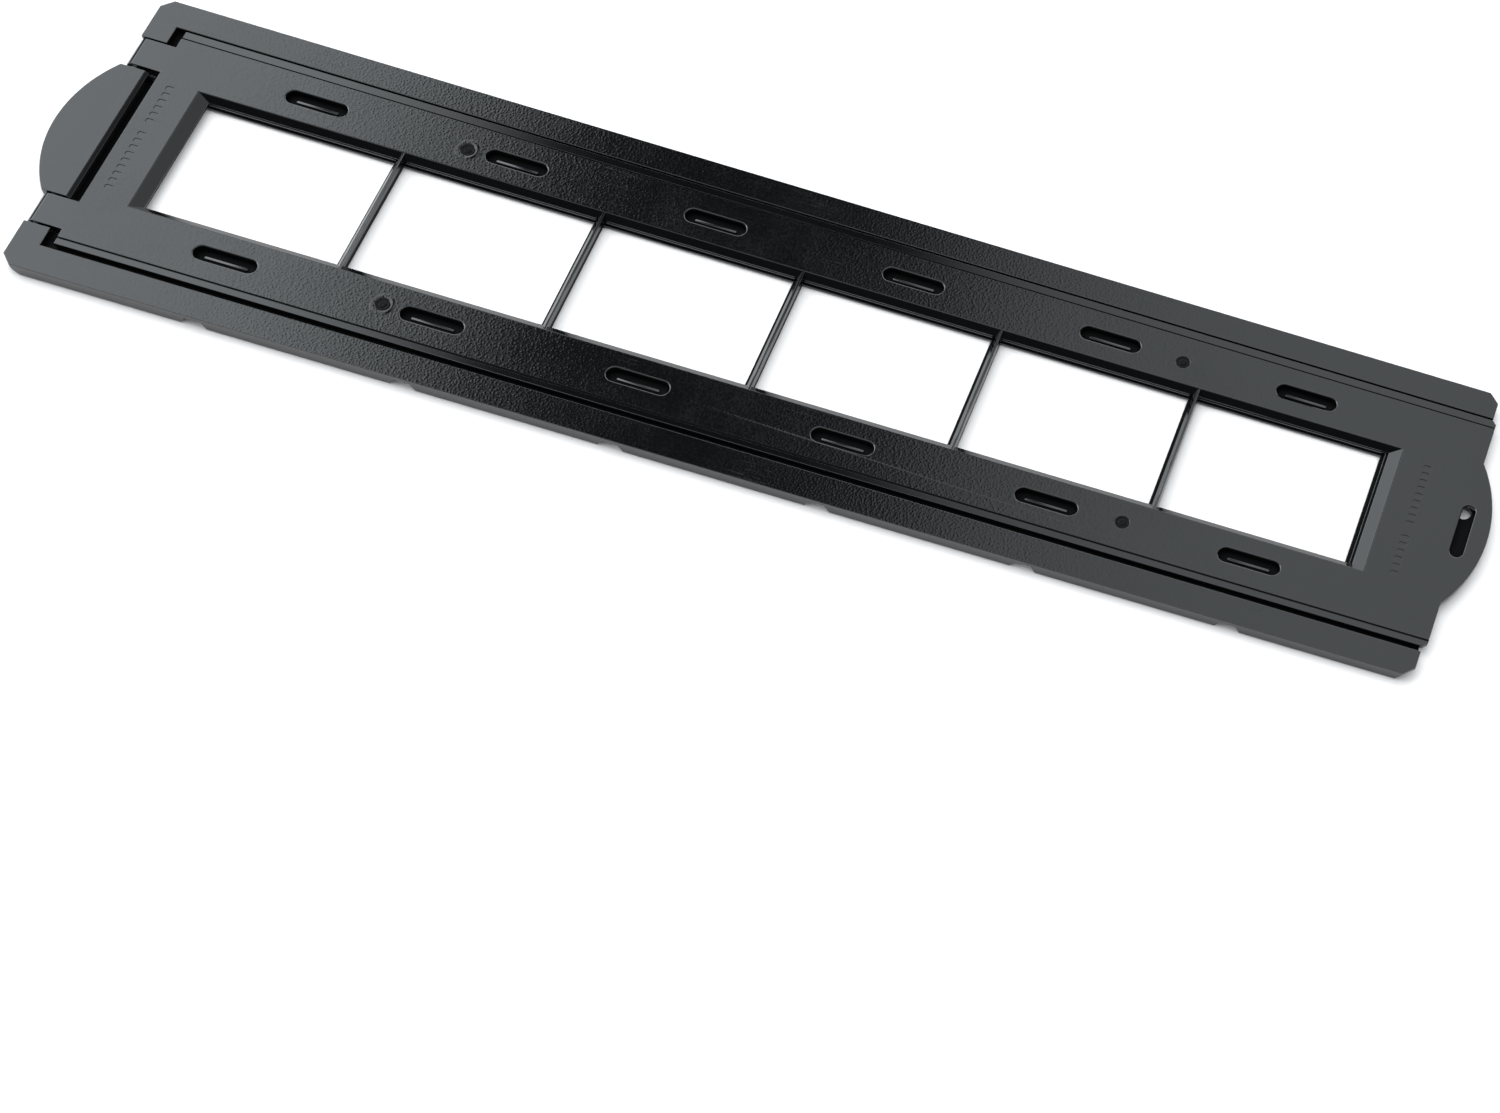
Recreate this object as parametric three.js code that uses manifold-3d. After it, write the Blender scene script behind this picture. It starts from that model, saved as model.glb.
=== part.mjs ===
// Negative carrier: a long, flat, hinged holder for one strip of six 35 mm frames.
// A thin lid lies between the two side rails of a tray and swings up about two short
// steel pins at its left end. The film strip lies between the lid and the tray floor.
//
// Frame, millimetres: the origin is under the centre of the row of six frames, on the
// tray's underside. +X runs along the strip towards the lid's free end, +Y runs across
// it to the far side, and +Z is up, from the tray to the lid.

import * as THREE from 'three';
import { mergeVertices } from 'three/addons/utils/BufferGeometryUtils.js';
import Module from 'manifold-3d';

// ---------------------------------------------------------------- shared dimensions
const FRAMES = 6;
const PITCH = 38;              // frame pitch of 35 mm film (eight perforations)
const THICK = 3.1;             // whole thickness, table to lid top
const ROW_Y = 18.3;            // lid slots and guide ribs, half the distance between rows
const LID_Y = 0.25;            // the lid lies this far to the far side within its play
const CUT = 1;                 // cutting solids run this far past the surface they open
const SIDES = [1, -1];         // far and near

// ---------------------------------------------------------------- tray dimensions
const TRAY_LEFT = -129.8;      // hinge end of the rails
const TRAY_RIGHT = 129.5;      // free end of the rails
const RAIL_OUT = 31.15;        // outer faces of the rails, from the centre line
const RAIL_IN = 25.75;         // inner faces of the rails
const CORNER = 1.9;            // plan chamfer of the four outer corners
// How far the outline draws in at each height. The underside rounds up at the hinge end
// and slopes up at the free end. Columns: z, left end, right end, each side.
const TRAY_LEVELS = [
  [0, 2.3, 1.4, 0.3],
  [0.3, 1.4, 1.22, 0],
  [0.7, 0.8, 0.99, 0],
  [1.3, 0.3, 0.64, 0],
  [2.0, 0, 0.23, 0],
  [2.4, 0, 0, 0],
  [THICK, 0, 0, 0],
];
const LEG_Y = 21.85;           // inner faces of the two rail legs beside the ears
const LEG_X = -124.95;         // edge of the legs towards the lid
const POCKET_X = -122.6;       // the floor starts here behind the ears

const FLOOR_T = 1.6;           // top of the floor under the film
const FLOOR_ROOT = 0.4;        // ribs and lugs reach this far down into the floor
const UNDER = {                // shallow recess in the underside between the rails
  x0: -119.4, x1: 126.2, halfWidth: 25.2, depth: 0.35,
};
const WINDOW = {
  length: 36.2,
  width: 24.5,
  shift: -1.05,                // windows lie this far from the frame centres
  rowLeft: -113.4,             // outer ends of the row of windows
  rowRight: 111.3,
};
const STEP = {                 // the windows widen above this height
  z: 0.8,
  width: 25.2,
  length: 0.85,                // at the window's free end
};
const RIB = {                  // film guide ribs
  midY: 0.15,                  // the two rows lie evenly about this line
  length: 8.0, width: 0.6, height: 0.3, arcSteps: 8,
};
const LUG = {                  // closing lugs
  x: 124.5, y: 19.2, length: 1.2, width: 4.0, height: 0.85,
  clearance: 0.35,             // lid recess around each lug
  recess: 0.75,                // its height above the lid's underside
};
const NOTCH = {                // detent notches in the rails
  bottomWidth: 4.8, topWidth: 2.8, height: 2.1,
  depth: 1.3,                  // in from the side
};

const TAB = {                  // finger tab at the hinge end
  tip: -135.1,
  arcRoot: -130.2,             // ends of the curved edge
  halfWidth: 14.85,            // at its root
  root: -125.6,                // top edge where the tab ends
  topDrop: 0.1,                // that edge's strip lies below the tab's top
  overlap: 1,                  // joining solids run this far into each other
};
const TAB_LEVELS = [           // columns: z, inset of the plan
  [0, 0.75], [0.25, 0.35], [0.75, 0], [THICK, 0],
];
const TAB_BAND = 0.65;         // narrow sloping band along the tab's top edge
const TAB_BAND_DROP = 0.4;     // its lower edge, below the tab's top
const TAB_PIT = {              // shallow pit between the band and the tray floor
  rim: 0.6,                    // left standing at each side
  bottom: 0.7,
  past: 0.2,                   // it ends this far past POCKET_X
};
const UNDER_TAB = {            // tray tab under the lid's tab
  left: 127.5, arcRoot: 128.6, tip: 134.2, halfWidth: 14.2, bottom: 0.3,
  holeX: 129.35, holeY: 5.25, holeRadius: 1.4,
};

// ---------------------------------------------------------------- lid dimensions
const LID_T = 1.15;            // lid plate
const LID_BOTTOM = THICK - LID_T;
const LID_LEFT = -123.1;       // hinge-side edge of the lid plate
const LID_RIGHT = 130.3;       // free edge of the lid plate
const LID_NOSE = 0.8;          // chamfer on the two free corners
const LID_HALF = 23.35;        // raised middle of the lid, half width
const LID_FAR = 25.5;          // outer edge of the lowered far strip
const LID_NEAR = -24.6;        // outer edge of the lowered near strip (thumbnail gap)
const STRIP_DROP = 0.15;       // strips lie this far below the lid top
const GROOVE_W = 0.4;          // groove along each edge of the raised middle
const GROOVE_D = 0.38;         // its depth below the lid top
const OPENING = {
  length: 230.3, width: 27.2,  // at the lid top
  endBevel: 2.4,               // bevel of the two short sides, in plan
  sideBevel: 1.25,             // bevel of the two long sides, in plan
  lip: 0.2,                    // upright edge below the bevel
};
const BAR = {                  // divider bars; x edges from the middle between two frames
  crest: [-0.45, -0.05],
  base: [-1.1, 0.05],
  crestDrop: 0.08,             // crest below the lid top
  foot: 0.25,                  // upright part of the left face
  embed: 0.6,                  // the bars reach this far past the opening's sides
};
const SLOT = { length: 11.5, width: 2.9 };   // slots over the film edges
const LID_TAB_TIP = 135.1;
const LID_TAB_HALF = 15.45;    // half width of the lid's tab at its root
const TAB_SLOT = {             // slot in the lid's tab, its length across the strip
  x: 130.25, y: LID_Y + 0.3, length: 11.3, width: 2.45,
};
const GATE = {                 // moulding gates: a round recess with a stub in it
  places: [[-66.2, 18], [-66.2, -18], [71.1, 18], [71.1, -18]], // x, y from LID_Y
  radius: 1.3, depth: 0.2,
  stubRadius: 0.5, stubFacets: 16,
  stubDrop: 0.06,              // stub's top, below the lid top
  stubRoot: 0.5,               // stub's foot, below the lid top
};
const MARK = {                 // shallow marks like film perforations
  length: 1.5, width: 0.95, radius: 0.3, pitch: 1.55, depth: 0.12,
  rows: [{ x: -119.9, startY: -11.4, dir: 1 }, { x: 120.5, startY: 12.1, dir: -1 }],
  runs: [9, 6],                // marks in each run of a row, one place empty between
};

// ---------------------------------------------------------------- hinge dimensions
const PIN = {
  x: -128.3, z: 1.6,           // hinge axis
  radius: 0.75,                // 1.5 mm wire
  inner: 12.0, outer: 24.8,    // ends of each pin, from the centre line
  chamfer: 0.15,
  facets: 32,
};
const EAR_PLAY = 0.05;         // running clearance in the ears, on the radius
const SEAT = {
  play: 0.03,                  // clearance on the radius
  endPlay: 0.1,                // clearance beyond each end of the pin
  mouth: 1.36,                 // snap-in mouth, open to the underside
};
const EAR = {
  radius: 1.5,                 // rounded end
  arcSteps: 24,
  spans: [[15.5, 21.55], [-21.45, -15.2]],   // y of the far and the near ear
  flatEnd: -125.1,             // the flat underside ends here and slopes up to the lid
  slopeGap: 0.2,               // the slope ends this far before the lid plate
  overlap: 0.6,                // the ear runs this far into the lid plate
};

// ---------------------------------------------------------------- solids
const wasm = await Module();
wasm.setup();

function solid(geometry) {
  const bare = new THREE.BufferGeometry();
  bare.setAttribute('position', geometry.attributes.position);
  const merged = mergeVertices(bare, 1e-4);
  return new wasm.Manifold(new wasm.Mesh({
    numProp: 3,
    vertProperties: new Float32Array(merged.attributes.position.array),
    triVerts: new Uint32Array(merged.index.array),
  }));
}

function toGeometry(body) {
  const mesh = body.getMesh();
  const indexed = new THREE.BufferGeometry();
  indexed.setAttribute('position',
    new THREE.BufferAttribute(new Float32Array(mesh.vertProperties), 3));
  indexed.setIndex(new THREE.BufferAttribute(new Uint32Array(mesh.triVerts), 1));
  const flat = indexed.toNonIndexed();
  flat.computeVertexNormals();
  return flat;
}

const fuse = (body, tools) => tools.reduce((sum, tool) => sum.add(tool), body);
const cut = (body, tools) => tools.reduce((rest, tool) => rest.subtract(tool), body);

function extrude(points, depth) {
  const shape = new THREE.Shape(points.map(([u, v]) => new THREE.Vector2(u, v)));
  return new THREE.ExtrudeGeometry(shape, { depth, bevelEnabled: false, steps: 1 });
}

// Straight prism over a plan outline, from z0 to z1.
const prism = (points, z0, z1) => solid(extrude(points, z1 - z0).translate(0, 0, z0));

// Prism over an outline in X and Z, between two values of y given in either order.
function prismY(points, ya, yb) {
  const geometry = extrude(points, Math.abs(yb - ya));
  geometry.rotateX(Math.PI / 2);
  geometry.translate(0, Math.max(ya, yb), 0);
  return solid(geometry);
}

// Skin through plan outlines of equal point count, each at its own height, lowest first.
function loft(levels) {
  const count = levels[0].points.length;
  const positions = [];
  const triangle = (a, b, c) => positions.push(...a, ...b, ...c);
  const at = (k, i) => [...levels[k].points[i % count], levels[k].z];
  const triangulate = (k) => THREE.ShapeUtils.triangulateShape(
    levels[k].points.map(([x, y]) => new THREE.Vector2(x, y)), []);
  const last = levels.length - 1;
  for (let k = 0; k < last; k++) {
    for (let i = 0; i < count; i++) {
      triangle(at(k, i), at(k, i + 1), at(k + 1, i + 1));
      triangle(at(k, i), at(k + 1, i + 1), at(k + 1, i));
    }
  }
  for (const [a, b, c] of triangulate(0)) triangle(at(0, c), at(0, b), at(0, a));
  for (const [a, b, c] of triangulate(last)) triangle(at(last, a), at(last, b), at(last, c));
  const geometry = new THREE.BufferGeometry();
  geometry.setAttribute('position', new THREE.Float32BufferAttribute(positions, 3));
  return solid(geometry);
}

const rect = (x0, x1, y0, y1) => [[x0, y0], [x1, y0], [x1, y1], [x0, y1]];
const block = (x0, x1, y0, y1, z0, z1) => prism(rect(x0, x1, y0, y1), z0, z1);

// Block by its centre and size in plan.
const blockAt = (x, y, length, width, z0, z1) => block(
  x - length / 2, x + length / 2, y - width / 2, y + width / 2, z0, z1);

// Cutter through the whole thickness.
const through = (points) => prism(points, -CUT, THICK + CUT);

// ---------------------------------------------------------------- outlines
// Stadium with its length along X.
function stadium(centreX, centreY, length, width, arcSteps = 16) {
  const radius = width / 2;
  const reach = length / 2 - radius;
  return SIDES.flatMap((end) => Array.from({ length: arcSteps + 1 }, (_, i) => {
    const angle = -end * Math.PI / 2 + Math.PI * i / arcSteps;
    return [centreX + end * reach + radius * Math.cos(angle),
      centreY + radius * Math.sin(angle)];
  }));
}

// Regular polygon with its corners on the circle.
function circle(centreU, centreV, radius, facets = 32) {
  return Array.from({ length: facets }, (_, i) => {
    const angle = 2 * Math.PI * (i + 0.5) / facets;
    return [centreU + radius * Math.cos(angle), centreV + radius * Math.sin(angle)];
  });
}

// Bore about the hinge axis; its flats, not its corners, lie at the given radius.
const hingeBore = (radius, y0, y1) => prismY(
  circle(PIN.x, PIN.z, radius / Math.cos(Math.PI / PIN.facets), PIN.facets), y0, y1);

// Arc through (rootX, midY - half), (tipX, midY), (rootX, midY + half), in rising y.
function bow(rootX, tipX, half, midY, steps = 48) {
  const rise = Math.abs(tipX - rootX);
  const radius = (half * half + rise * rise) / (2 * rise);
  const dir = Math.sign(tipX - rootX);
  const centreX = tipX - dir * radius;
  const sweep = Math.asin(half / radius);
  return Array.from({ length: steps + 1 }, (_, i) => {
    const angle = -sweep + 2 * sweep * i / steps;
    return [centreX + dir * radius * Math.cos(angle), midY + radius * Math.sin(angle)];
  });
}

function roundedRect(centreX, centreY, length, width, radius, arcSteps = 2) {
  const corners = [[1, 1], [-1, 1], [-1, -1], [1, -1]];
  return corners.flatMap(([sx, sy], k) => Array.from({ length: arcSteps + 1 }, (_, i) => {
    const angle = Math.PI / 2 * (k + i / arcSteps);
    return [centreX + sx * (length / 2 - radius) + radius * Math.cos(angle),
      centreY + sy * (width / 2 - radius) + radius * Math.sin(angle)];
  }));
}

// Places along X at the frame pitch, centred on the origin.
const rowOf = (count) => Array.from({ length: count }, (_, i) => (i - (count - 1) / 2) * PITCH);
const frameCentres = rowOf(FRAMES);
const barCentres = rowOf(FRAMES - 1);

// One solid per frame in each of the two rows.
const perFrame = (make) => frameCentres.flatMap((x) => SIDES.map((s) => make(x, s)));

// ---------------------------------------------------------------- tray
function trayOutline(left, right, side) {
  const x0 = TRAY_LEFT + left;
  const x1 = TRAY_RIGHT - right;
  const y = RAIL_OUT - side;
  return [
    [x0 + CORNER, -y], [x1 - CORNER, -y], [x1, -y + CORNER], [x1, y - CORNER],
    [x1 - CORNER, y], [x0 + CORNER, y], [x0, y - CORNER], [x0, -y + CORNER],
  ];
}

// Rails and floor, hollow above the floor and cut out between the legs.
function trayBody() {
  const body = loft(TRAY_LEVELS.map(([z, ...insets]) => ({ z, points: trayOutline(...insets) })));
  return cut(body, [
    block(LEG_X, TRAY_RIGHT + CUT, -RAIL_IN, RAIL_IN, FLOOR_T, THICK + CUT),
    through(rect(TRAY_LEFT - CUT, POCKET_X, -LEG_Y, LEG_Y)),
  ]);
}

// Finger tab, sloping band and the floor that joins them to the tray.
function addHingeTab(tray) {
  const half = TAB.halfWidth;
  const arc = bow(TAB.arcRoot, TAB.tip, half, 0).reverse();
  const plan = (inset) => [
    ...arc.map(([x, y]) => [x + inset, y * (half - inset) / half]),
    [TAB.root, -half + inset], [TAB.root, half - inset],
  ];
  const joinX = TAB.root - TAB.overlap;
  const bandX = TAB.root + TAB_BAND;
  const band = [
    [joinX, 0], [bandX, 0], [bandX, THICK - TAB_BAND_DROP],
    [TAB.root, THICK - TAB.topDrop], [joinX, THICK - TAB.topDrop],
  ];
  const joined = fuse(tray, [
    loft(TAB_LEVELS.map(([z, inset]) => ({ z, points: plan(inset) }))),
    prismY(band, -half, half),
    block(joinX, POCKET_X + TAB.overlap, -half, half, 0, FLOOR_T),
  ]);
  const pitHalf = half - TAB_PIT.rim;
  return joined.subtract(block(bandX, POCKET_X + TAB_PIT.past, -pitHalf, pitHalf,
    TAB_PIT.bottom, FLOOR_T + CUT));
}

// Tab at the free end, with one round hole.
function addUnderTab(tray) {
  const { left, arcRoot, tip, halfWidth, bottom, holeX, holeY, holeRadius } = UNDER_TAB;
  const plan = [
    [left, LID_Y - halfWidth],
    ...bow(arcRoot, tip, halfWidth, LID_Y),
    [left, LID_Y + halfWidth],
  ];
  return tray.add(prism(plan, bottom, FLOOR_T))
    .subtract(through(circle(holeX, holeY, holeRadius)));
}

// Window through the floor and the wider step above it.
function windowCutters(x) {
  const x0 = Math.max(x + WINDOW.shift - WINDOW.length / 2, WINDOW.rowLeft);
  const x1 = Math.min(x + WINDOW.shift + WINDOW.length / 2, WINDOW.rowRight);
  return [
    through(rect(x0, x1, -WINDOW.width / 2, WINDOW.width / 2)),
    block(x0, x1 + STEP.length, -STEP.width / 2, STEP.width / 2, STEP.z, THICK),
  ];
}

const guideRib = (x, s) => prism(
  stadium(x, RIB.midY + s * ROW_Y, RIB.length, RIB.width, RIB.arcSteps),
  FLOOR_T - FLOOR_ROOT, FLOOR_T + RIB.height);

const closingLug = (s) => blockAt(LUG.x, s * LUG.y, LUG.length, LUG.width,
  FLOOR_T - FLOOR_ROOT, FLOOR_T + LUG.height);

// Notch in the lower edge of a rail, open to the side.
function notchCutter(x, s) {
  const bottom = NOTCH.bottomWidth / 2;
  const top = NOTCH.topWidth / 2;
  const outline = [
    [x - bottom, -CUT], [x + bottom, -CUT], [x + bottom, 0],
    [x + top, NOTCH.height], [x - top, NOTCH.height], [x - bottom, 0],
  ];
  return prismY(outline, s * (RAIL_OUT - NOTCH.depth), s * (RAIL_OUT + CUT));
}

// Round pin seat and its narrower mouth.
function seatCutters(s) {
  const y0 = s * (PIN.inner - SEAT.endPlay);
  const y1 = s * (PIN.outer + SEAT.endPlay);
  const mouth = rect(PIN.x - SEAT.mouth / 2, PIN.x + SEAT.mouth / 2, -CUT, PIN.z);
  return [hingeBore(PIN.radius + SEAT.play, y0, y1), prismY(mouth, y0, y1)];
}

function buildTray() {
  let tray = addUnderTab(addHingeTab(trayBody()));
  // The recess leaves the carrier running on its two rails.
  tray = cut(tray, [
    block(UNDER.x0, UNDER.x1, -UNDER.halfWidth, UNDER.halfWidth, -CUT, UNDER.depth),
    ...frameCentres.flatMap(windowCutters),
  ]);
  tray = fuse(tray, [...perFrame(guideRib), ...SIDES.map(closingLug)]);
  return cut(tray, [...perFrame(notchCutter), ...SIDES.flatMap(seatCutters)]);
}

// ---------------------------------------------------------------- lid
function lidPlate() {
  return prism([
    [LID_LEFT, LID_NEAR], [LID_RIGHT - LID_NOSE, LID_NEAR], [LID_RIGHT, LID_NEAR + LID_NOSE],
    ...bow(LID_RIGHT, LID_TAB_TIP, LID_TAB_HALF, LID_Y),
    [LID_RIGHT, LID_FAR - LID_NOSE], [LID_RIGHT - LID_NOSE, LID_FAR], [LID_LEFT, LID_FAR],
  ], LID_BOTTOM, THICK);
}

// Lowered strip along one rail, and the groove beside the raised middle.
function stripCutters(s) {
  const edge = LID_Y + s * LID_HALF;
  const lengthwise = (y, depth) => block(LID_LEFT - CUT, LID_RIGHT + CUT,
    Math.min(edge, y), Math.max(edge, y), THICK - depth, THICK + CUT);
  return [
    lengthwise(s * (LID_FAR + CUT), STRIP_DROP),
    lengthwise(edge + s * GROOVE_W, GROOVE_D),
  ];
}

// One long opening, widening towards the lid top.
function openingCutter() {
  const plan = (endInset, sideInset) => {
    const x = OPENING.length / 2 - endInset;
    const y = OPENING.width / 2 - sideInset;
    return rect(-x, x, LID_Y - y, LID_Y + y);
  };
  const narrow = plan(OPENING.endBevel, OPENING.sideBevel);
  const wide = plan(0, 0);
  return loft([
    { z: LID_BOTTOM - CUT, points: narrow },
    { z: LID_BOTTOM + OPENING.lip, points: narrow },
    { z: THICK, points: wide },
    { z: THICK + CUT, points: wide },
  ]);
}

function dividerBar(x) {
  const crestZ = THICK - BAR.crestDrop;
  const outline = [
    [x + BAR.base[0], LID_BOTTOM], [x + BAR.base[1], LID_BOTTOM],
    [x + BAR.crest[1], crestZ], [x + BAR.crest[0], crestZ],
    [x + BAR.base[0], LID_BOTTOM + BAR.foot],
  ];
  const reach = OPENING.width / 2 + BAR.embed;
  return prismY(outline, LID_Y - reach, LID_Y + reach);
}

const slotCutter = (x, s) => through(stadium(x, LID_Y + s * ROW_Y, SLOT.length, SLOT.width));

// The stadium is turned a quarter about Z, so that it runs across the strip.
const tabSlotCutter = () => through(stadium(0, 0, TAB_SLOT.length, TAB_SLOT.width)
  .map(([x, y]) => [TAB_SLOT.x - y, TAB_SLOT.y + x]));

const lugRecess = (s) => blockAt(LUG.x, s * LUG.y,
  LUG.length + 2 * LUG.clearance, LUG.width + 2 * LUG.clearance,
  LID_BOTTOM - CUT, LID_BOTTOM + LUG.recess);

const gateRecess = ([x, y]) => prism(circle(x, LID_Y + y, GATE.radius),
  THICK - GATE.depth, THICK + CUT);

const gateStub = ([x, y]) => prism(circle(x, LID_Y + y, GATE.stubRadius, GATE.stubFacets),
  THICK - GATE.stubRoot, THICK - GATE.stubDrop);

// One row of marks, at one end of the opening.
function markCutters({ x, startY, dir }) {
  const marks = [];
  let place = 0;
  for (const run of MARK.runs) {
    for (let i = 0; i < run; i++, place++) {
      const y = startY + dir * MARK.pitch * (place + 0.5);
      marks.push(prism(roundedRect(x, y, MARK.length, MARK.width, MARK.radius),
        THICK - MARK.depth, THICK + CUT));
    }
    place += 1;
  }
  return marks;
}

// Hinge ear with a fully rounded end, bored for its pin.
function hingeEar([y0, y1]) {
  const arc = Array.from({ length: EAR.arcSteps + 1 }, (_, i) => {
    const angle = Math.PI / 2 + Math.PI * i / EAR.arcSteps;
    return [PIN.x + EAR.radius * Math.cos(angle), PIN.z + EAR.radius * Math.sin(angle)];
  });
  const outline = [
    ...arc,
    [EAR.flatEnd, PIN.z - EAR.radius],
    [LID_LEFT - EAR.slopeGap, LID_BOTTOM],
    [LID_LEFT + EAR.overlap, LID_BOTTOM],
    [LID_LEFT + EAR.overlap, THICK],
  ];
  return prismY(outline, y0, y1)
    .subtract(hingeBore(PIN.radius + EAR_PLAY, y0 - CUT, y1 + CUT));
}

function buildLid() {
  let lid = cut(lidPlate(), [...SIDES.flatMap(stripCutters), openingCutter()]);
  lid = fuse(lid, barCentres.map(dividerBar));
  lid = cut(lid, [
    ...perFrame(slotCutter),
    tabSlotCutter(),
    ...SIDES.map(lugRecess),
    ...GATE.places.map(gateRecess),
  ]);
  lid = fuse(lid, GATE.places.map(gateStub));
  lid = cut(lid, MARK.rows.flatMap(markCutters));
  return fuse(lid, EAR.spans.map(hingeEar));
}

// ---------------------------------------------------------------- hinge pins
// Turned about its own axis, with a small chamfer at each end.
function buildPin() {
  const half = (PIN.outer - PIN.inner) / 2;
  const profile = [               // radius, distance along the axis
    [0, -half],
    [PIN.radius - PIN.chamfer, -half],
    [PIN.radius, -half + PIN.chamfer],
    [PIN.radius, half - PIN.chamfer],
    [PIN.radius - PIN.chamfer, half],
    [0, half],
  ];
  return new THREE.LatheGeometry(profile.map(([r, y]) => new THREE.Vector2(r, y)), PIN.facets);
}

// ---------------------------------------------------------------- materials and scene
const plastic = (name, color, roughness) => new THREE.MeshStandardMaterial({
  name, color, roughness, metalness: 0,
});
const trayPlastic = () => plastic('tray_plastic', 0x1c1e20, 0.42);
const lidPlastic = () => plastic('lid_plastic', 0x1b1d1f, 0.4);
const steel = () => new THREE.MeshStandardMaterial({
  name: 'pin_steel', color: 0xb9bcbf, roughness: 0.3, metalness: 1,
});

function namedMesh(name, geometry, material) {
  const mesh = new THREE.Mesh(geometry, material);
  mesh.name = name;
  return mesh;
}

const carrier = new THREE.Group();
carrier.name = 'negative_carrier';
carrier.add(namedMesh('film_tray', toGeometry(buildTray()), trayPlastic()));

const lidGroup = new THREE.Group();
lidGroup.add(namedMesh('film_lid', toGeometry(buildLid()), lidPlastic()));
carrier.add(lidGroup);

const pinGeometry = buildPin();
for (const [side, s] of [['far', 1], ['near', -1]]) {
  const pin = namedMesh(`hinge_pin_${side}`, pinGeometry, steel());
  pin.position.set(PIN.x, s * (PIN.inner + PIN.outer) / 2, PIN.z);
  carrier.add(pin);
}

export default carrier;
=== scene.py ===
"""Negative carrier: final surfaces, materials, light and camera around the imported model."""

import math
import random

import bmesh
import bpy
from mathutils import Matrix, Vector
from mathutils.geometry import intersect_point_line


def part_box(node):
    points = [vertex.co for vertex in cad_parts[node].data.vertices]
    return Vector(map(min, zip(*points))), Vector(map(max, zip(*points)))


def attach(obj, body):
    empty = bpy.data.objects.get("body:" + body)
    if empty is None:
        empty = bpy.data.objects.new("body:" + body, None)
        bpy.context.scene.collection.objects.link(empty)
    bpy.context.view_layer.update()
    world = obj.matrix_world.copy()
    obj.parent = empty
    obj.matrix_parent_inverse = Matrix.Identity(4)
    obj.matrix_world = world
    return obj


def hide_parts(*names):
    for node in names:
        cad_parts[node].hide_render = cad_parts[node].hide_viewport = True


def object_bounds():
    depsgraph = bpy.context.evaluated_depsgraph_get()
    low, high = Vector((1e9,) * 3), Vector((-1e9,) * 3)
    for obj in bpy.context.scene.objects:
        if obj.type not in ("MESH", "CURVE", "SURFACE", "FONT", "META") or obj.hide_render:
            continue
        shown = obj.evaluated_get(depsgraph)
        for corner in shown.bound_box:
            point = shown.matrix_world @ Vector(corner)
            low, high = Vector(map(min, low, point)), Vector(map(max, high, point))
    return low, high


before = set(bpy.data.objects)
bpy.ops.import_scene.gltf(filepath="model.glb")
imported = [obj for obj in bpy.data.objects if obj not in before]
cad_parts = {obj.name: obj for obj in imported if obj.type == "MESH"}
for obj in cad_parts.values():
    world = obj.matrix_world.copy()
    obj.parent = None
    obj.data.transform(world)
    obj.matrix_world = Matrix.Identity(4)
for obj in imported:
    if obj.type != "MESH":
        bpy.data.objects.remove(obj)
cad_lo, cad_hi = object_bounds()
MM = 0.001
rng = random.Random(38)

TOP = cad_hi.z                       # lid top and rail tops
lid_lo, lid_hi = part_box("film_lid")
tray_lo, tray_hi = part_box("film_tray")
LID_Y = 0.25 * MM                    # the lid's centre line
PITCH = 38 * MM
CENTRES = [(i - 2.5) * PITCH for i in range(6)]
BARS = [(i - 2) * PITCH for i in range(5)]


# ------------------------------------------------------------------ node helpers
class Nodes:
    def __init__(self, name):
        self.mat = bpy.data.materials.new(name)
        self.mat.use_nodes = True
        self.nt = self.mat.node_tree
        self.nt.nodes.clear()
        self.out = self.nt.nodes.new("ShaderNodeOutputMaterial")
        self.x = 0

    def add(self, kind, **values):
        n = self.nt.nodes.new(kind)
        self.x += 180
        n.location = (self.x, 0)
        for k, v in values.items():
            setattr(n, k, v)
        return n

    def link(self, a, b):
        self.nt.links.new(a, b)

    def put(self, socket, value):
        if isinstance(value, bpy.types.NodeSocket):
            self.link(value, socket)
        else:
            socket.default_value = value

    def math(self, op, a, b=0.0, c=0.0, clamp=False):
        n = self.add("ShaderNodeMath", operation=op, use_clamp=clamp)
        self.put(n.inputs[0], a)
        self.put(n.inputs[1], b)
        if op in ("MULTIPLY_ADD", "WRAP", "COMPARE", "SMOOTH_MIN", "SMOOTH_MAX"):
            self.put(n.inputs[2], c)
        return n.outputs[0]

    def range(self, v, a, b, c, d, smooth=False):
        n = self.add("ShaderNodeMapRange", interpolation_type="SMOOTHSTEP" if smooth else "LINEAR")
        for s, val in zip(n.inputs[:5], (v, a, b, c, d)):
            self.put(s, val)
        return n.outputs[0]

    def noise(self, vec, scale, detail=2.0, rough=0.5, distortion=0.0):
        n = self.add("ShaderNodeTexNoise")
        self.put(n.inputs["Vector"], vec)
        n.inputs["Scale"].default_value = scale
        n.inputs["Detail"].default_value = detail
        n.inputs["Roughness"].default_value = rough
        n.inputs["Distortion"].default_value = distortion
        return n.outputs["Fac"]

    def voronoi(self, vec, scale, feature="F1", smooth=None):
        n = self.add("ShaderNodeTexVoronoi", feature=feature)
        self.put(n.inputs["Vector"], vec)
        n.inputs["Scale"].default_value = scale
        if smooth is not None:
            n.inputs["Smoothness"].default_value = smooth
        return n

    def coords(self, offset=(0, 0, 0), scale=(1, 1, 1)):
        tc = self.add("ShaderNodeTexCoord")
        mp = self.add("ShaderNodeMapping")
        self.link(tc.outputs["Object"], mp.inputs["Vector"])
        mp.inputs["Location"].default_value = offset
        mp.inputs["Scale"].default_value = scale
        return mp.outputs["Vector"]

    def bump(self, height, distance, strength=1.0, normal=None):
        n = self.add("ShaderNodeBump")
        n.inputs["Strength"].default_value = strength
        n.inputs["Distance"].default_value = distance
        self.link(height, n.inputs["Height"])
        if normal is not None:
            self.link(normal, n.inputs["Normal"])
        return n.outputs["Normal"]


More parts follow.
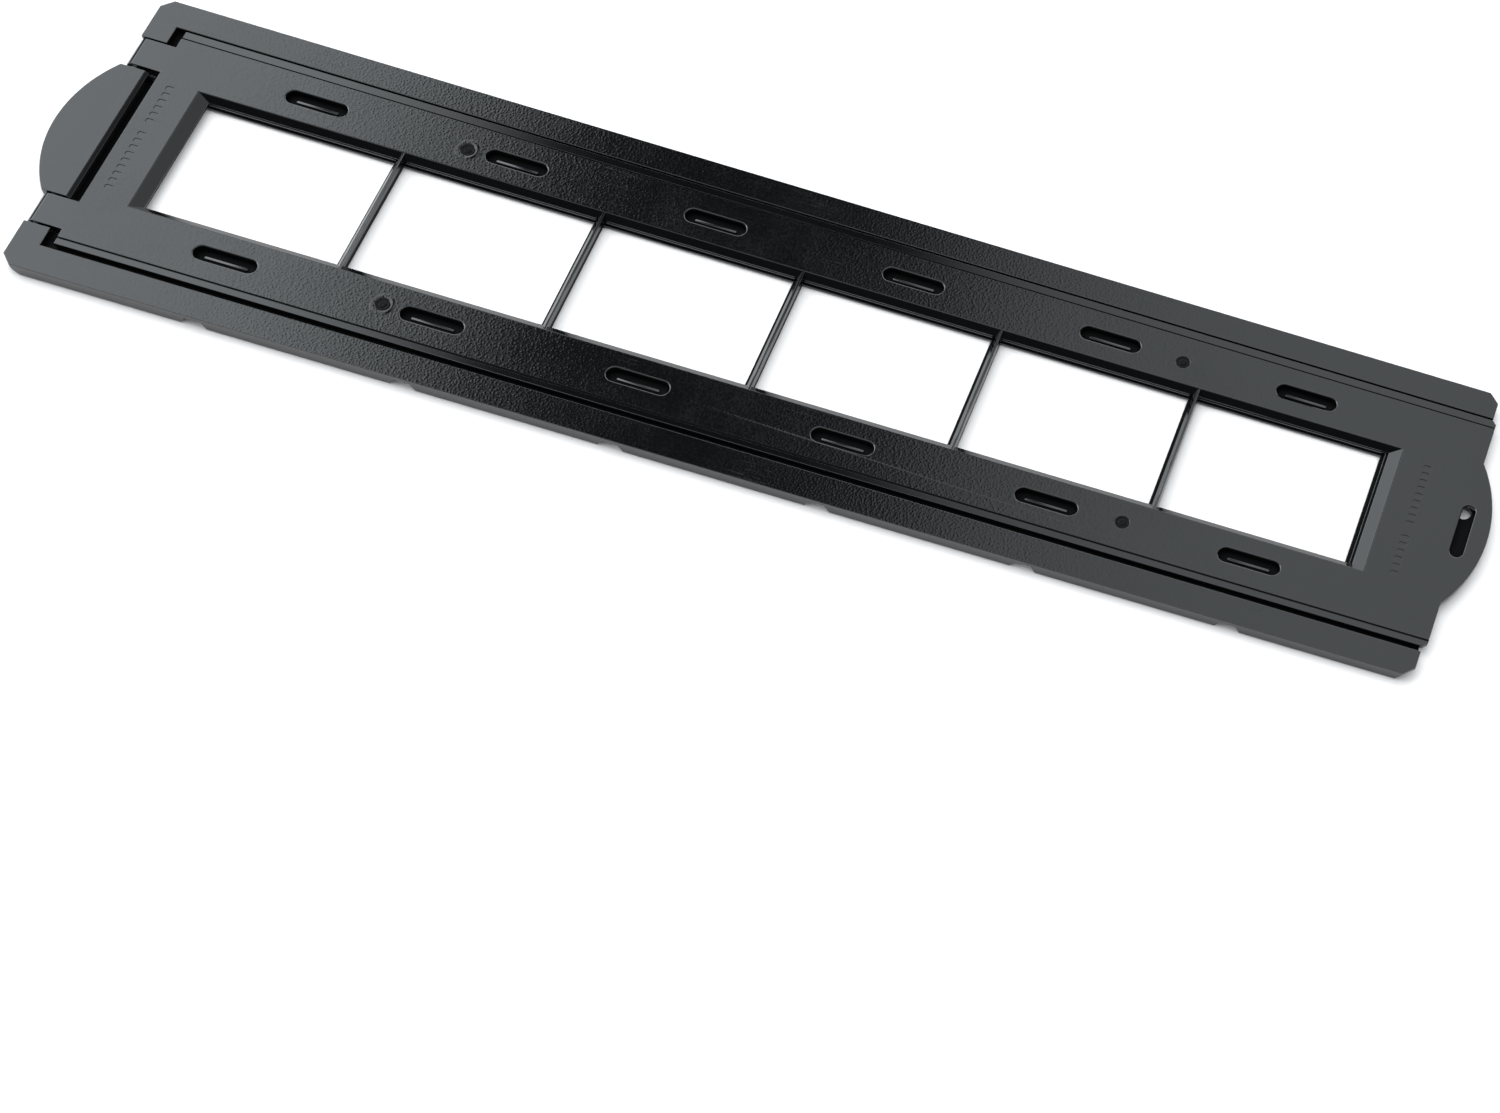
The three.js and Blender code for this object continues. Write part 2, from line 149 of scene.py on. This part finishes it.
def plastic(name, grain, rough, seed, scratches=0.0, tint=(0.0021, 0.0024, 0.0026), shine=0.5):
    """Black moulded plastic. grain is the depth of the spark-eroded texture in metres, 0 for polished tool faces."""
    m = Nodes(name)
    vec = m.coords(offset=(seed * 0.37, seed * 0.11, seed * 0.23))
    bsdf = m.add("ShaderNodeBsdfPrincipled")
    m.link(bsdf.outputs[0], m.out.inputs[0])
    # colour: nearly black, with a slow flow mottling and very fine carbon speckle
    flow = m.noise(m.coords(offset=(seed, 0, 0), scale=(1, 2.2, 1)), 22, 3, 0.5, 0.6)
    speck = m.noise(vec, 5200, 2, 0.6)
    val = m.math("ADD", m.range(flow, 0.3, 0.7, 0.86, 1.12), m.range(speck, 0.3, 0.7, -0.12, 0.12))
    comb = m.add("ShaderNodeVectorMath", operation="SCALE")
    comb.inputs[0].default_value = tint
    m.link(val, comb.inputs["Scale"])
    # a few specks of pale dust that lie on faces that look up
    geo = m.add("ShaderNodeNewGeometry")
    sep = m.add("ShaderNodeSeparateXYZ")
    m.link(geo.outputs["Normal"], sep.inputs[0])
    up = m.range(sep.outputs["Z"], 0.9, 0.98, 0, 1)
    dust = m.voronoi(m.coords(offset=(seed * 3.1, 0.2, 0)), 95)
    near = m.range(dust.outputs["Distance"], 0.006, 0.012, 1, 0)
    few = m.math("GREATER_THAN", m.noise(m.coords(offset=(seed * 1.7, 0, 0.4)), 130, 0), 0.66)
    dusty = m.math("MULTIPLY", m.math("MULTIPLY", near, few), up)
    mix = m.add("ShaderNodeMix", data_type="RGBA")
    m.link(dusty, mix.inputs["Factor"])
    m.link(comb.outputs[0], mix.inputs["A"])
    mix.inputs["B"].default_value = (0.16, 0.16, 0.155, 1)
    m.link(mix.outputs["Result"], bsdf.inputs["Base Color"])
    # roughness: broad patches, handling smears and fine variation from the grain
    patches = m.noise(m.coords(offset=(0, seed, 0)), 40, 3, 0.55, 0.3)
    smear = m.noise(m.coords(offset=(seed, seed, 0), scale=(1, 0.25, 1)), 120, 2, 0.5, 1.2)
    r = m.math("ADD", m.range(patches, 0.3, 0.7, rough - 0.03, rough + 0.03),
               m.range(smear, 0.35, 0.75, -0.012, 0.02))
    height = m.noise(vec, 900, 1.5, 0.5)
    if grain:
        cells = m.voronoi(vec, 1950, "F1")
        fine = m.noise(vec, 2450, 1.5, 0.5, 0.4)
        cell = m.range(cells.outputs["Distance"], 0.05, 0.7, 1, 0, smooth=True)
        g = m.math("ADD", m.math("MULTIPLY", cell, 0.5), m.math("MULTIPLY", fine, 0.8))
        r = m.math("ADD", r, m.range(g, 0.35, 0.8, 0.035, -0.035))
        n0 = m.bump(g, grain)
    else:
        n0 = m.bump(m.noise(vec, 3200, 2.0, 0.5), 0.0012 * MM)
    # slow sink and flow waviness of a thin moulding
    waves = m.noise(m.coords(offset=(seed, 0.3, 0), scale=(1, 1.4, 1)), 55, 1.0, 0.4)
    n1 = m.bump(waves, 0.004 * MM, normal=n0)
    if scratches:
        lines = m.noise(m.coords(offset=(0, seed, 0), scale=(18, 900, 18)), 6, 2, 0.7)
        fine_lines = m.range(lines, 0.62, 0.66, 0, 1)
        where = m.range(m.noise(m.coords(offset=(seed, 1, 0)), 60, 1), 0.5, 0.7, 0, 1)
        s = m.math("MULTIPLY", fine_lines, where)
        n1 = m.bump(s, -scratches, normal=n1)
        r = m.math("ADD", r, m.math("MULTIPLY", s, 0.05))
    m.put(bsdf.inputs["Roughness"], m.math("MAXIMUM", r, 0.05))
    m.link(n1, bsdf.inputs["Normal"])
    bsdf.inputs["IOR"].default_value = 1.52
    bsdf.inputs["Specular IOR Level"].default_value = shine
    return m.mat


def steel(name):
    m = Nodes(name)
    bsdf = m.add("ShaderNodeBsdfPrincipled")
    m.link(bsdf.outputs[0], m.out.inputs[0])
    lines = m.noise(m.coords(scale=(900, 12, 900)), 5, 3, 0.6)
    spots = m.noise(m.coords(), 900, 3, 0.6)
    ramp = m.add("ShaderNodeMix", data_type="RGBA")
    m.link(m.range(spots, 0.45, 0.75, 0, 1), ramp.inputs["Factor"])
    ramp.inputs["A"].default_value = (0.56, 0.57, 0.58, 1)
    ramp.inputs["B"].default_value = (0.40, 0.40, 0.39, 1)
    m.link(ramp.outputs["Result"], bsdf.inputs["Base Color"])
    bsdf.inputs["Metallic"].default_value = 1.0
    m.put(bsdf.inputs["Roughness"], m.range(lines, 0.3, 0.7, 0.2, 0.34))
    m.link(m.bump(lines, 0.002 * MM), bsdf.inputs["Normal"])
    return m.mat


GRAINED_TRAY = plastic("tray_grained", 0.0098 * MM, 0.085, 1.0, scratches=0.0016 * MM)
GRAINED_LID = plastic("lid_grained", 0.0098 * MM, 0.085, 4.0, scratches=0.0014 * MM)
SMOOTH_TRAY = plastic("tray_smooth", 0.0, 0.06, 2.0)
SMOOTH_LID = plastic("lid_smooth", 0.0, 0.055, 5.0)
# Rounded edges and guide rib crests: the lighter tint than the faces is painted highlight; the higher shine and lower
# roughness are real
EDGE_TRAY = plastic("tray_edges", 0.0, 0.14, 3.0, tint=(0.0034, 0.0037, 0.0039), shine=0.8)
EDGE_LID = plastic("lid_edges", 0.0, 0.14, 6.0, tint=(0.0034, 0.0037, 0.0039), shine=0.8)
# Film channel, window walls and lid underside: matt, and darker in tint as painted shade where they lie under the lid;
# the gate scars reuse the lid one
MATT_SHADED_TRAY = plastic("tray_film_channel", 0.009 * MM, 0.5, 7.0, shine=0.05, tint=(0.0012, 0.0013, 0.0014))
MATT_SHADED_LID = plastic("lid_underside", 0.009 * MM, 0.5, 8.0, shine=0.1, tint=(0.0014, 0.0015, 0.0016))
STEEL = steel("pin_steel")


# ------------------------------------------------------------------ mesh helpers
def merged_mesh(node):
    """A clean bmesh of a CAD node: shared vertices merged, flat facets joined."""
    bm = bmesh.new()
    bm.from_mesh(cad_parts[node].data)
    bmesh.ops.remove_doubles(bm, verts=bm.verts, dist=0.0015 * MM)
    bmesh.ops.dissolve_degenerate(bm, dist=0.001 * MM, edges=bm.edges)
    bmesh.ops.dissolve_limit(bm, angle_limit=math.radians(0.35), verts=bm.verts, edges=bm.edges,
                             use_dissolve_boundaries=False, delimit={"NORMAL"})
    bmesh.ops.recalc_face_normals(bm, faces=bm.faces)
    return bm


EDGE_R = 0.12 * MM      # usual edge radius of the mouldings
WIDE_R = 0.26 * MM      # softer rims of the slots
FINE_R = 0.035 * MM     # small marks and grooves


def crowded(e):
    """Edges in tight places, out of sight, that keep their corner: pin seats, bar roots, lower rim of the tab's hole."""
    a, b = (v.co for v in e.verts)
    seat = all(abs(c.x + 128.3 * MM) < 0.85 * MM and c.z < 2.42 * MM and abs(c.y) < 25.2 * MM for c in (a, b))
    root = all(lid_lo.z - 1e-6 < c.z < 2.3 * MM and abs(c.y) < 14.5 * MM
               and min(abs(c.x - x) for x in BARS) < 1.2 * MM for c in (a, b))
    hole = all((c.x - 129.35 * MM) ** 2 + (c.y - 5.25 * MM) ** 2 < (1.9 * MM) ** 2 and c.z < 0.8 * MM for c in (a, b))
    return seat or root or hole


def soften(me, limit):
    """Flat faces keep their own normal up to their borders; curved walls and rounded edges run smoothly."""
    bm = bmesh.new()
    bm.from_mesh(me)
    near = math.cos(limit)
    normals = []
    for f in bm.faces:
        for lp in f.loops:
            around = lp.vert.link_faces
            if f.material_index == EDGE:
                beside = [e.link_faces[0] if e.link_faces[1] is f else e.link_faces[1]
                          for e in (lp.edge, lp.link_loop_prev.edge) if len(e.link_faces) == 2]
                flats = [g for g in beside if g.material_index != EDGE]
                if flats:
                    base = flats[0].normal
                    kin = [g for g in around if g.material_index != EDGE and g.normal.dot(base) > near]
                else:
                    kin = [g for g in around if g.material_index != EDGE and g.normal.dot(f.normal) > 0.8]
                    if not kin:
                        kin = [g for g in around if g.normal.dot(f.normal) > 0.3]
            else:
                kin = [g for g in around if g.material_index != EDGE and g.normal.dot(f.normal) > near]
            total = Vector((0, 0, 0))
            for g in kin or [f]:
                total += g.normal * next(k for k in g.loops if k.vert is lp.vert).calc_angle()
            normals.append(total.normalized() if total.length > 1e-9 else f.normal.copy())
    bm.free()
    me.shade_smooth()
    me.normals_split_custom_set(normals)


def shell(name, node, body, mats, pick, limit, finer=None, wider=None):
    """A CAD node's shape with rounded edges; finer and wider pick edges that get another radius.

    Each edge's radius is stored as a bevel weight, less where a neighbouring face is too narrow.
    """
    bm = merged_mesh(node)
    for f in bm.faces:
        f.material_index = pick(f)
    limit = math.radians(limit)
    weight = bm.edges.layers.float.new("bevel_weight_edge")
    chosen = {}
    for e in bm.edges:
        if len(e.link_faces) == 2 and e.calc_face_angle(0) > limit:
            if e.is_convex and not crowded(e):
                chosen[e] = 0.0
            else:
                e.smooth = False      # inner corners stay crisp
    for e in chosen:
        want = FINE_R if finer and finer(e) else WIDE_R if wider and wider(e) else EDGE_R
        room = want
        for v in e.verts:
            for k in v.link_edges:
                if k not in chosen:
                    shared = k.other_vert(v) and any(j in chosen for j in k.other_vert(v).link_edges)
                    room = min(room, k.calc_length() * (0.42 if shared else 0.8))
        # room across the two faces beside the edge
        mid = (e.verts[0].co + e.verts[1].co) / 2
        for f in e.link_faces:
            for k in f.edges:
                if k in chosen and k is not e and not (set(k.verts) & set(e.verts)):
                    hit, _ = intersect_point_line(mid, k.verts[0].co, k.verts[1].co)
                    t = (hit - k.verts[0].co).dot(k.verts[1].co - k.verts[0].co)
                    if 0 <= t <= (k.verts[1].co - k.verts[0].co).length_squared:
                        room = min(room, (hit - mid).length * 0.42)
        chosen[e] = max(room, 0.01 * MM)
    for e, width in chosen.items():
        e[weight] = width / WIDE_R
    me = bpy.data.meshes.new(name)
    bm.normal_update()
    bm.to_mesh(me)
    bm.free()
    ob = bpy.data.objects.new(name, me)
    bpy.context.scene.collection.objects.link(ob)
    for mat in mats:
        me.materials.append(mat)
    bev = ob.modifiers.new("rounded_edges", "BEVEL")
    bev.limit_method = "WEIGHT"
    bev.offset_type = "OFFSET"
    bev.width = WIDE_R
    bev.segments = 3
    bev.use_clamp_overlap = False
    # bevel faces get the lighter edge material: painted highlight
    bev.material = 2
    bev.miter_outer = "MITER_SHARP"
    bev.loop_slide = True
    done = bpy.data.meshes.new_from_object(ob.evaluated_get(bpy.context.evaluated_depsgraph_get()))
    ob.modifiers.clear()
    ob.data = done
    done.name = name
    soften(done, limit)
    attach(ob, body)
    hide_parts(node)
    return ob


GRAIN, SMOOTH, EDGE, CHANNEL = range(4)
FILM_FLOOR = 1.6 * MM


def tray_face(f):
    z, nz = f.calc_center_median().z, f.normal.z
    if nz > 0.999 and z > TOP - 0.05 * MM:
        return GRAIN
    # film floor under the lid: darker channel material, painted shade
    if nz > 0.999 and abs(z - FILM_FLOOR) < 0.02 * MM:
        return CHANNEL
    if nz < -0.999 and z > 0.1 * MM:
        return GRAIN
    c = f.calc_center_median()
    if nz > 0.9 and FILM_FLOOR + 0.2 * MM < z < FILM_FLOOR + 0.4 * MM and abs(abs(c.y - 0.15 * MM) - 18.3 * MM) < 1 * MM:
        return EDGE                   # crests of the guide ribs, lighter edge tint as painted highlight
    if z < FILM_FLOOR and abs(c.y) < 13 * MM and abs(c.x) < 115 * MM and abs(f.normal.y) < 0.7:
        return CHANNEL                # cross walls and steps of the windows, darker channel material as painted shade
    return SMOOTH


def lid_face(f):
    z, nz = f.calc_center_median().z, f.normal.z
    if nz > 0.999 and z > TOP - 0.05 * MM:
        return GRAIN
    # lid underside: darker channel material, painted shade
    if nz < -0.999:
        return CHANNEL
    return SMOOTH


def small_edge(e):
    """Edges of the small perforation marks and of the two long grooves in the lid."""
    c = (e.verts[0].co + e.verts[1].co) / 2
    mark = c.z > TOP - 0.14 * MM and 117.5 * MM < abs(c.x) < 123 * MM and abs(c.y) < 14.5 * MM
    groove = c.z > TOP - 0.5 * MM and 23.2 * MM < abs(c.y - LID_Y) < 23.9 * MM
    return mark or groove


def slot_rim(e):
    """Top rims of the slots and of the hand slot."""
    a, b = (v.co for v in e.verts)
    if min(a.z, b.z) < TOP - 0.01 * MM:
        return False
    for c in (a, b):
        row = abs(abs(c.y - LID_Y) - 18.3 * MM) < 1.6 * MM and min(abs(c.x - x) for x in CENTRES) < 6.2 * MM
        hand = abs(c.x - 130.25 * MM) < 1.4 * MM and abs(c.y - LID_Y) < 6.2 * MM
        if not (row or hand):
            return False
    return True


tray = shell("tray_moulding", "film_tray", "tray", (GRAINED_TRAY, SMOOTH_TRAY, EDGE_TRAY, MATT_SHADED_TRAY),
             tray_face, 28)
lid = shell("lid_moulding", "film_lid", "lid", (GRAINED_LID, SMOOTH_LID, EDGE_LID, MATT_SHADED_LID),
            lid_face, 14, small_edge, slot_rim)

def gate_scar(name, x, y, size):
    """What the moulding gate leaves in its round recess: a shallow bowl around an irregular torn stub."""
    bm = bmesh.new()
    n = 18
    lobes = [rng.uniform(-0.09, 0.12) for _ in range(n)]
    rings = []
    for radius, z, rough in ((1.25, -0.26, 0), (1.27, -0.03, 0), (1.14, -0.05, 0.3), (0.86, -0.16, 0.8), (0.70, -0.14, 1.2),
                             (0.60, -0.04, 1.0), (0.40, 0.0, 1.6), (0.2, -0.03, 1.0)):
        ring = []
        for i in range(n):
            a = 2 * math.pi * i / n
            r = radius * (1 + rough * size * lobes[i]) * MM
            dz = rng.uniform(-0.02, 0.02) * size if rough > 0.5 else 0
            ring.append(bm.verts.new((x * MM + r * math.cos(a), LID_Y + y * MM + r * math.sin(a), TOP + (z + dz) * MM)))
        rings.append(ring)
    for low, high in zip(rings, rings[1:]):
        for i in range(n):
            j = (i + 1) % n
            bm.faces.new((low[i], low[j], high[j], high[i]))
    bottom = bm.verts.new((x * MM, LID_Y + y * MM, TOP - 0.26 * MM))
    top = bm.verts.new((x * MM, LID_Y + y * MM, TOP - 0.04 * MM))
    for i in range(n):
        j = (i + 1) % n
        bm.faces.new((rings[0][j], rings[0][i], bottom))
        bm.faces.new((rings[-1][i], rings[-1][j], top))
    me = bpy.data.meshes.new(name)
    bm.to_mesh(me)
    bm.free()
    ob = bpy.data.objects.new(name, me)
    bpy.context.scene.collection.objects.link(ob)
    # the scar takes the lid's darker matt material
    me.materials.append(MATT_SHADED_LID)
    me.shade_smooth()
    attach(ob, "lid")


def gate_swell(name, x, y, height):
    """Soft raised ring around a gate recess, where the plastic was packed harder."""
    bm = bmesh.new()
    n = 28
    section = [(1.36, -0.08), (1.36, 0.0), (1.47, 0.55), (1.62, 0.95), (1.78, 1.0), (1.98, 0.6), (2.2, 0.15), (2.3, 0.0), (2.3, -0.08)]
    wobble = [rng.uniform(0.5, 1.0) for _ in range(n)]
    loops = []
    for i in range(n):
        a = 2 * math.pi * i / n
        w = (wobble[i - 1] + 2 * wobble[i] + wobble[(i + 1) % n]) / 4 * (0.12 + 0.88 * max(0, math.cos(a)) ** 1.5)
        loops.append([bm.verts.new((x * MM + r * MM * math.cos(a), LID_Y + y * MM + r * MM * math.sin(a),
                                    TOP + (h * height * w if h > 0 else h) * MM)) for r, h in section])
    for i in range(n):
        here, there = loops[i], loops[(i + 1) % n]
        for k in range(len(section)):
            m = (k + 1) % len(section)
            bm.faces.new((here[k], there[k], there[m], here[m]))
    bmesh.ops.recalc_face_normals(bm, faces=bm.faces)
    me = bpy.data.meshes.new(name)
    bm.to_mesh(me)
    bm.free()
    ob = bpy.data.objects.new(name, me)
    bpy.context.scene.collection.objects.link(ob)
    me.materials.append(GRAINED_LID)
    me.shade_smooth()
    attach(ob, "lid")


for n, (x, y, size) in enumerate(((-66.2, 18, 1.0), (-66.2, -18, 1.1), (71.1, 18, 0.8), (71.1, -18, 0.9))):
    gate_scar(f"gate_scar_{n + 1}", x, y, size)
for n, y in enumerate((18, -18)):
    gate_swell(f"gate_swell_{n + 1}", -66.2, y, 0.07)

for n in ("hinge_pin_far", "hinge_pin_near"):
    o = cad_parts[n]
    o.data.materials.clear()
    o.data.materials.append(STEEL)


# ------------------------------------------------------------------ stage, light, camera
def emitter(name, centre, target, size, colour, strength, spread=180):
    data = bpy.data.lights.new(name, "AREA")
    data.shape = "RECTANGLE"
    data.size, data.size_y = size
    data.color = colour
    data.energy = strength * size[0] * size[1] * math.pi  # strength is the panel's radiance
    data.spread = math.radians(spread)
    ob = bpy.data.objects.new(name, data)
    ob.location = centre
    ob.rotation_euler = (Vector(target) - Vector(centre)).to_track_quat("-Z", "Y").to_euler()
    bpy.context.scene.collection.objects.link(ob)
    return ob


def floor():
    bm = bmesh.new()
    n, half = 24, 3.0
    for i in range(n + 1):
        for j in range(n + 1):
            bm.verts.new((-half + 2 * half * i / n, -half + 2 * half * j / n, 0))
    bm.verts.ensure_lookup_table()
    for i in range(n):
        for j in range(n):
            a = i * (n + 1) + j
            bm.faces.new([bm.verts[k] for k in (a, a + n + 1, a + n + 2, a + 1)])
    me = bpy.data.meshes.new("floor")
    bm.to_mesh(me)
    bm.free()
    ob = bpy.data.objects.new("floor", me)
    bpy.context.scene.collection.objects.link(ob)
    ob.location.z = -0.00002
    m = Nodes("pale_table")
    bsdf = m.add("ShaderNodeBsdfPrincipled")
    m.link(bsdf.outputs[0], m.out.inputs[0])
    t = m.noise(m.coords(), 6, 3)
    mix = m.add("ShaderNodeMix", data_type="RGBA")
    m.link(t, mix.inputs["Factor"])
    mix.inputs["A"].default_value = (0.665, 0.67, 0.675, 1)
    mix.inputs["B"].default_value = (0.70, 0.70, 0.70, 1)
    m.link(mix.outputs["Result"], bsdf.inputs["Base Color"])
    bsdf.inputs["Roughness"].default_value = 0.6
    me.materials.append(m.mat)
    return ob


floor()

def studio_world():
    """Dark studio with a large soft box overhead on the left and a weaker one on the right.

    Reflections read the soft boxes as a function of u = x/z and v = y/z, the place where a
    direction meets a flat ceiling; the camera sees a pale backdrop and diffuse light is even.
    """
    world = bpy.data.worlds.new("studio")
    bpy.context.scene.world = world
    world.use_nodes = True
    nt = world.node_tree
    nt.nodes.clear()
    m = Nodes.__new__(Nodes)
    m.nt, m.x = nt, 0
    out = nt.nodes.new("ShaderNodeOutputWorld")
    tc = m.add("ShaderNodeTexCoord")
    sep = m.add("ShaderNodeSeparateXYZ")
    m.link(tc.outputs["Generated"], sep.inputs[0])
    z = m.math("MAXIMUM", sep.outputs["Z"], 0.03)
    u = m.math("DIVIDE", sep.outputs["X"], z)
    v = m.math("DIVIDE", sep.outputs["Y"], z)
    slant = m.math("MULTIPLY", m.math("SUBTRACT", m.math("MINIMUM", m.math("MAXIMUM", v, 0.2), 1.2), 0.567), 0.155)
    u1 = m.math("ADD", u, slant)

    def curve(value, points):
        """Piecewise smooth function through (position, level) points."""
        lo, hi = points[0][0], points[-1][0]
        t = m.range(value, lo, hi, 0, 1)
        ramp = m.add("ShaderNodeValToRGB")
        ramp.color_ramp.interpolation = "LINEAR"
        top = max(p[1] for p in points)
        els = ramp.color_ramp.elements
        while len(els) > 1:
            els.remove(els[-1])
        for i, (x, y) in enumerate(points):
            e = els[0] if i == 0 else els.new((x - lo) / (hi - lo))
            e.position = (x - lo) / (hi - lo)
            e.color = (y / top,) * 3 + (1,)
        m.link(t, ramp.inputs["Fac"])
        sepc = m.add("ShaderNodeRGBToBW")
        m.link(ramp.outputs["Color"], sepc.inputs[0])
        return m.math("MULTIPLY", sepc.outputs[0], top)

    main = curve(u1, LEVELS)
    side = curve(u, [(0.45, 0.0), (0.9, 0.8), (2.4, 0.8), (3.6, 0.05)])
    w = m.math("ADD", v, m.math("MULTIPLY", m.math("ABSOLUTE", u), 0.35))
    back = m.math("MULTIPLY", m.range(w, 0.0, 0.45, 0, 1, smooth=True), m.range(v, 1.05, 1.25, 1, 0, smooth=True))
    # pale wall behind the table, seen low in the back only
    low = m.range(v, 1.3, 1.6, 0, 1, smooth=True)
    across = m.range(m.math("ABSOLUTE", m.math("DIVIDE", u, m.math("MAXIMUM", v, 0.05))), 0.8, 1.2, 1, 0, smooth=True)
    wall = m.math("MULTIPLY", m.math("MULTIPLY", low, across), 2.6)
    front = curve(v, [(-5.0, 0.1), (-3.6, 0.9), (-1.7, 0.9), (-1.35, 0.02)])
    over = m.math("MULTIPLY", curve(v, [(-0.75, 0.0), (-0.45, 1.3), (0.05, 1.3), (0.32, 0.0)]),
                  m.range(m.math("ABSOLUTE", u), 1.2, 2.2, 1, 0, smooth=True))
    level = m.math("ADD", m.math("ADD", m.math("MULTIPLY", m.math("MAXIMUM", main, side), back), front), wall)
    level = m.math("MAXIMUM", level, over)
    tint = m.add("ShaderNodeVectorMath", operation="SCALE")
    tint.inputs[0].default_value = (0.94, 1.0, 1.04)
    m.link(level, tint.inputs["Scale"])

    lp = m.add("ShaderNodeLightPath")
    glossy = m.add("ShaderNodeBackground")
    m.link(tint.outputs[0], glossy.inputs["Color"])
    even = m.add("ShaderNodeBackground")
    even.inputs["Color"].default_value = (0.95, 0.98, 1.0, 1)
    even.inputs["Strength"].default_value = AMBIENT
    pale = m.add("ShaderNodeBackground")
    pale.inputs["Color"].default_value = (1.0, 1.0, 1.0, 1)
    pale.inputs["Strength"].default_value = 1.0
    mix1 = m.add("ShaderNodeMixShader")
    m.link(lp.outputs["Is Glossy Ray"], mix1.inputs[0])
    m.link(even.outputs[0], mix1.inputs[1])
    m.link(glossy.outputs[0], mix1.inputs[2])
    mix2 = m.add("ShaderNodeMixShader")
    m.link(lp.outputs["Is Camera Ray"], mix2.inputs[0])
    m.link(mix1.outputs[0], mix2.inputs[1])
    m.link(pale.outputs[0], mix2.inputs[2])
    m.link(mix2.outputs[0], out.inputs[0])


# Level of the soft boxes across the ceiling, from left to right.
LEVELS = [(-4.0, 4.0), (-2.0, 5.5), (-1.4, 4.0), (-1.05, 2.7), (-0.60, 3.15), (-0.4975, 3.15), (-0.4676, 2.95),
          (-0.448, 2.65), (-0.428, 1.95), (-0.413, 1.5), (-0.404, 1.1), (-0.394, 0.15), (-0.372, 0.0), (-0.302, 0.0),
          (-0.243, 0.0), (-0.232, 0.45), (-0.219, 0.8), (-0.199, 1.12), (-0.165, 1.42), (-0.08, 1.6), (-0.036, 1.6),
          (0.10, 1.3), (0.25, 1.05), (0.30, 0.8), (0.36, 0.3), (0.45, 0.12), (0.7, 0.05)]
AMBIENT = 0.8
studio_world()


def along(az, el, dist):
    """Point at that azimuth (0 is +Y, positive towards -X) and elevation from the part."""
    a, e = math.radians(az), math.radians(el)
    return Vector((-math.sin(a) * math.cos(e), math.cos(a) * math.cos(e), math.sin(e))) * dist


for light in (emitter("key", along(50, 58, 1.8), (0, 0, 0), (1.9, 1.9), (0.98, 0.99, 1.0), 2.4),
              emitter("overhead", along(-60, 78, 1.9), (0, 0, 0), (2.0, 2.0), (1.0, 1.0, 1.0), 2.2),
              emitter("left_fill", along(110, 35, 2.0), (0, 0, 0), (1.4, 1.2), (1.0, 1.0, 1.0), 2.4)):
    light.visible_glossy = False

cam_data = bpy.data.cameras.new("photo_camera")
cam = bpy.data.objects.new("photo_camera", cam_data)
bpy.context.scene.collection.objects.link(cam)
bpy.context.scene.camera = cam
# Fitted to the plan of the lid top: focal length and centre in units of a 1500 x 1113 image.
F_PX, PP = 3127.35, (1669.02, 507.91)
AZ, EL, ROLL = math.radians(-4.18), math.radians(58.9), math.radians(20.12)
AIM, DIST = Vector((0.16587, 0.01795, TOP)), 0.58708
right = Vector((math.cos(AZ), math.sin(AZ), 0))
ahead = Vector((-math.sin(AZ) * math.cos(EL), math.cos(AZ) * math.cos(EL), -math.sin(EL)))
up = Vector((-math.sin(AZ) * math.sin(EL), math.cos(AZ) * math.sin(EL), math.cos(EL)))
x_axis = math.cos(ROLL) * right + math.sin(ROLL) * up
y_axis = -math.sin(ROLL) * right + math.cos(ROLL) * up
home = AIM - ahead * DIST
rot = Matrix((x_axis, y_axis, -ahead)).transposed()
cam.location = home
cam.rotation_euler = rot.to_euler()
cam_data.sensor_width = 36
cam_data.lens = F_PX * 36 / 1500
cam_data.clip_start, cam_data.clip_end = 0.01, 20


home_mark = bpy.data.objects.new("photo_camera_place", None)
home_mark.location = home
bpy.context.scene.collection.objects.link(home_mark)


def shift_at_home(prop, value):
    """The lens is shifted only while the camera stands at the photograph's place."""
    curve = cam_data.driver_add(prop)
    for modifier in list(curve.modifiers):
        curve.modifiers.remove(modifier)
    curve.driver.type = "SUM"
    away = curve.driver.variables.new()
    away.type = "LOC_DIFF"
    away.targets[0].id, away.targets[1].id = cam, home_mark
    for dist, level in ((0.0, value), (0.02, 0.0)):
        curve.keyframe_points.insert(dist, level).interpolation = "CONSTANT"


shift_at_home("shift_x", (750 - PP[0]) / 1500)
shift_at_home("shift_y", (PP[1] - 556.5) / 1500)

scene = bpy.context.scene
scene.view_settings.view_transform = "Standard"
scene.view_settings.look = "None"
scene.view_settings.exposure = 0
scene.view_settings.gamma = 1
